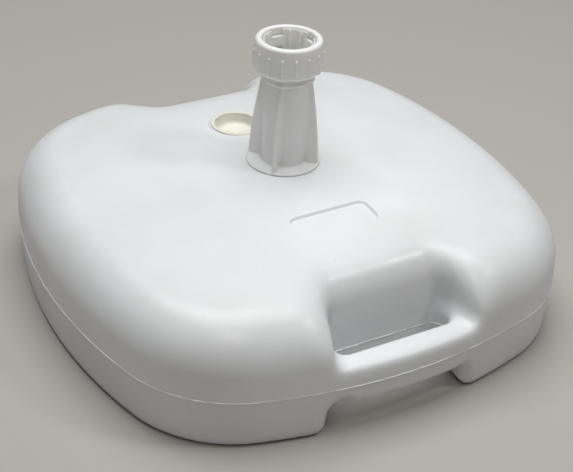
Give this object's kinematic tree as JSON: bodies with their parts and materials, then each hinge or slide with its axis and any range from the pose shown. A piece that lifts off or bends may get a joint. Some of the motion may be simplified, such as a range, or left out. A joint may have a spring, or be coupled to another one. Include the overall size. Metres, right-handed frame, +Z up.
{
  "type": "water-filled umbrella base",
  "caption": "Hollow water-ballast umbrella base with carrying handles, a finned pole socket, a screw-down collet clamp and a filler cap.",
  "frame": {"origin": "centre of the underside, on the ground", "axes": "+Z up along the pole bore, carrying handles at -Y and +Y, filler cap towards +Y"},
  "size_m": [0.4598, 0.4598, 0.2483],
  "materials": {
    "tank_white": "blow-moulded white polyethylene, satin",
    "holder_white": "injection-moulded white polypropylene",
    "collet_cream": "natural cream polypropylene",
    "cap_cream": "natural cream polyethylene"
  },
  "bodies": {
    "base": {"tank_shell": "tank_white", "pole_holder": "holder_white"},
    "clamp_collet": {"collet": "collet_cream"},
    "nut": {"clamp_nut": "holder_white"},
    "cap": {"filler_cap": "cap_cream"}
  },
  "joints": [
    {"name": "collet_travel", "type": "slide", "parent": "base", "child": "clamp_collet", "axis": [0, 0, 1], "range_m": [0, 0.012]},
    {"name": "nut_turn", "type": "hinge", "parent": "clamp_collet", "child": "nut", "pos_m": [0, 0, 0.23], "axis": [0, 0, 1], "range_deg": [0, 1080]},
    {"name": "cap_lift", "type": "slide", "parent": "base", "child": "cap", "axis": [0, 0, 1], "range_m": [0, 0.04]}
  ],
  "couplings": [
    {"joint": "nut_turn", "follows": "collet_travel", "rad_per_m": 1570.8}
  ]
}
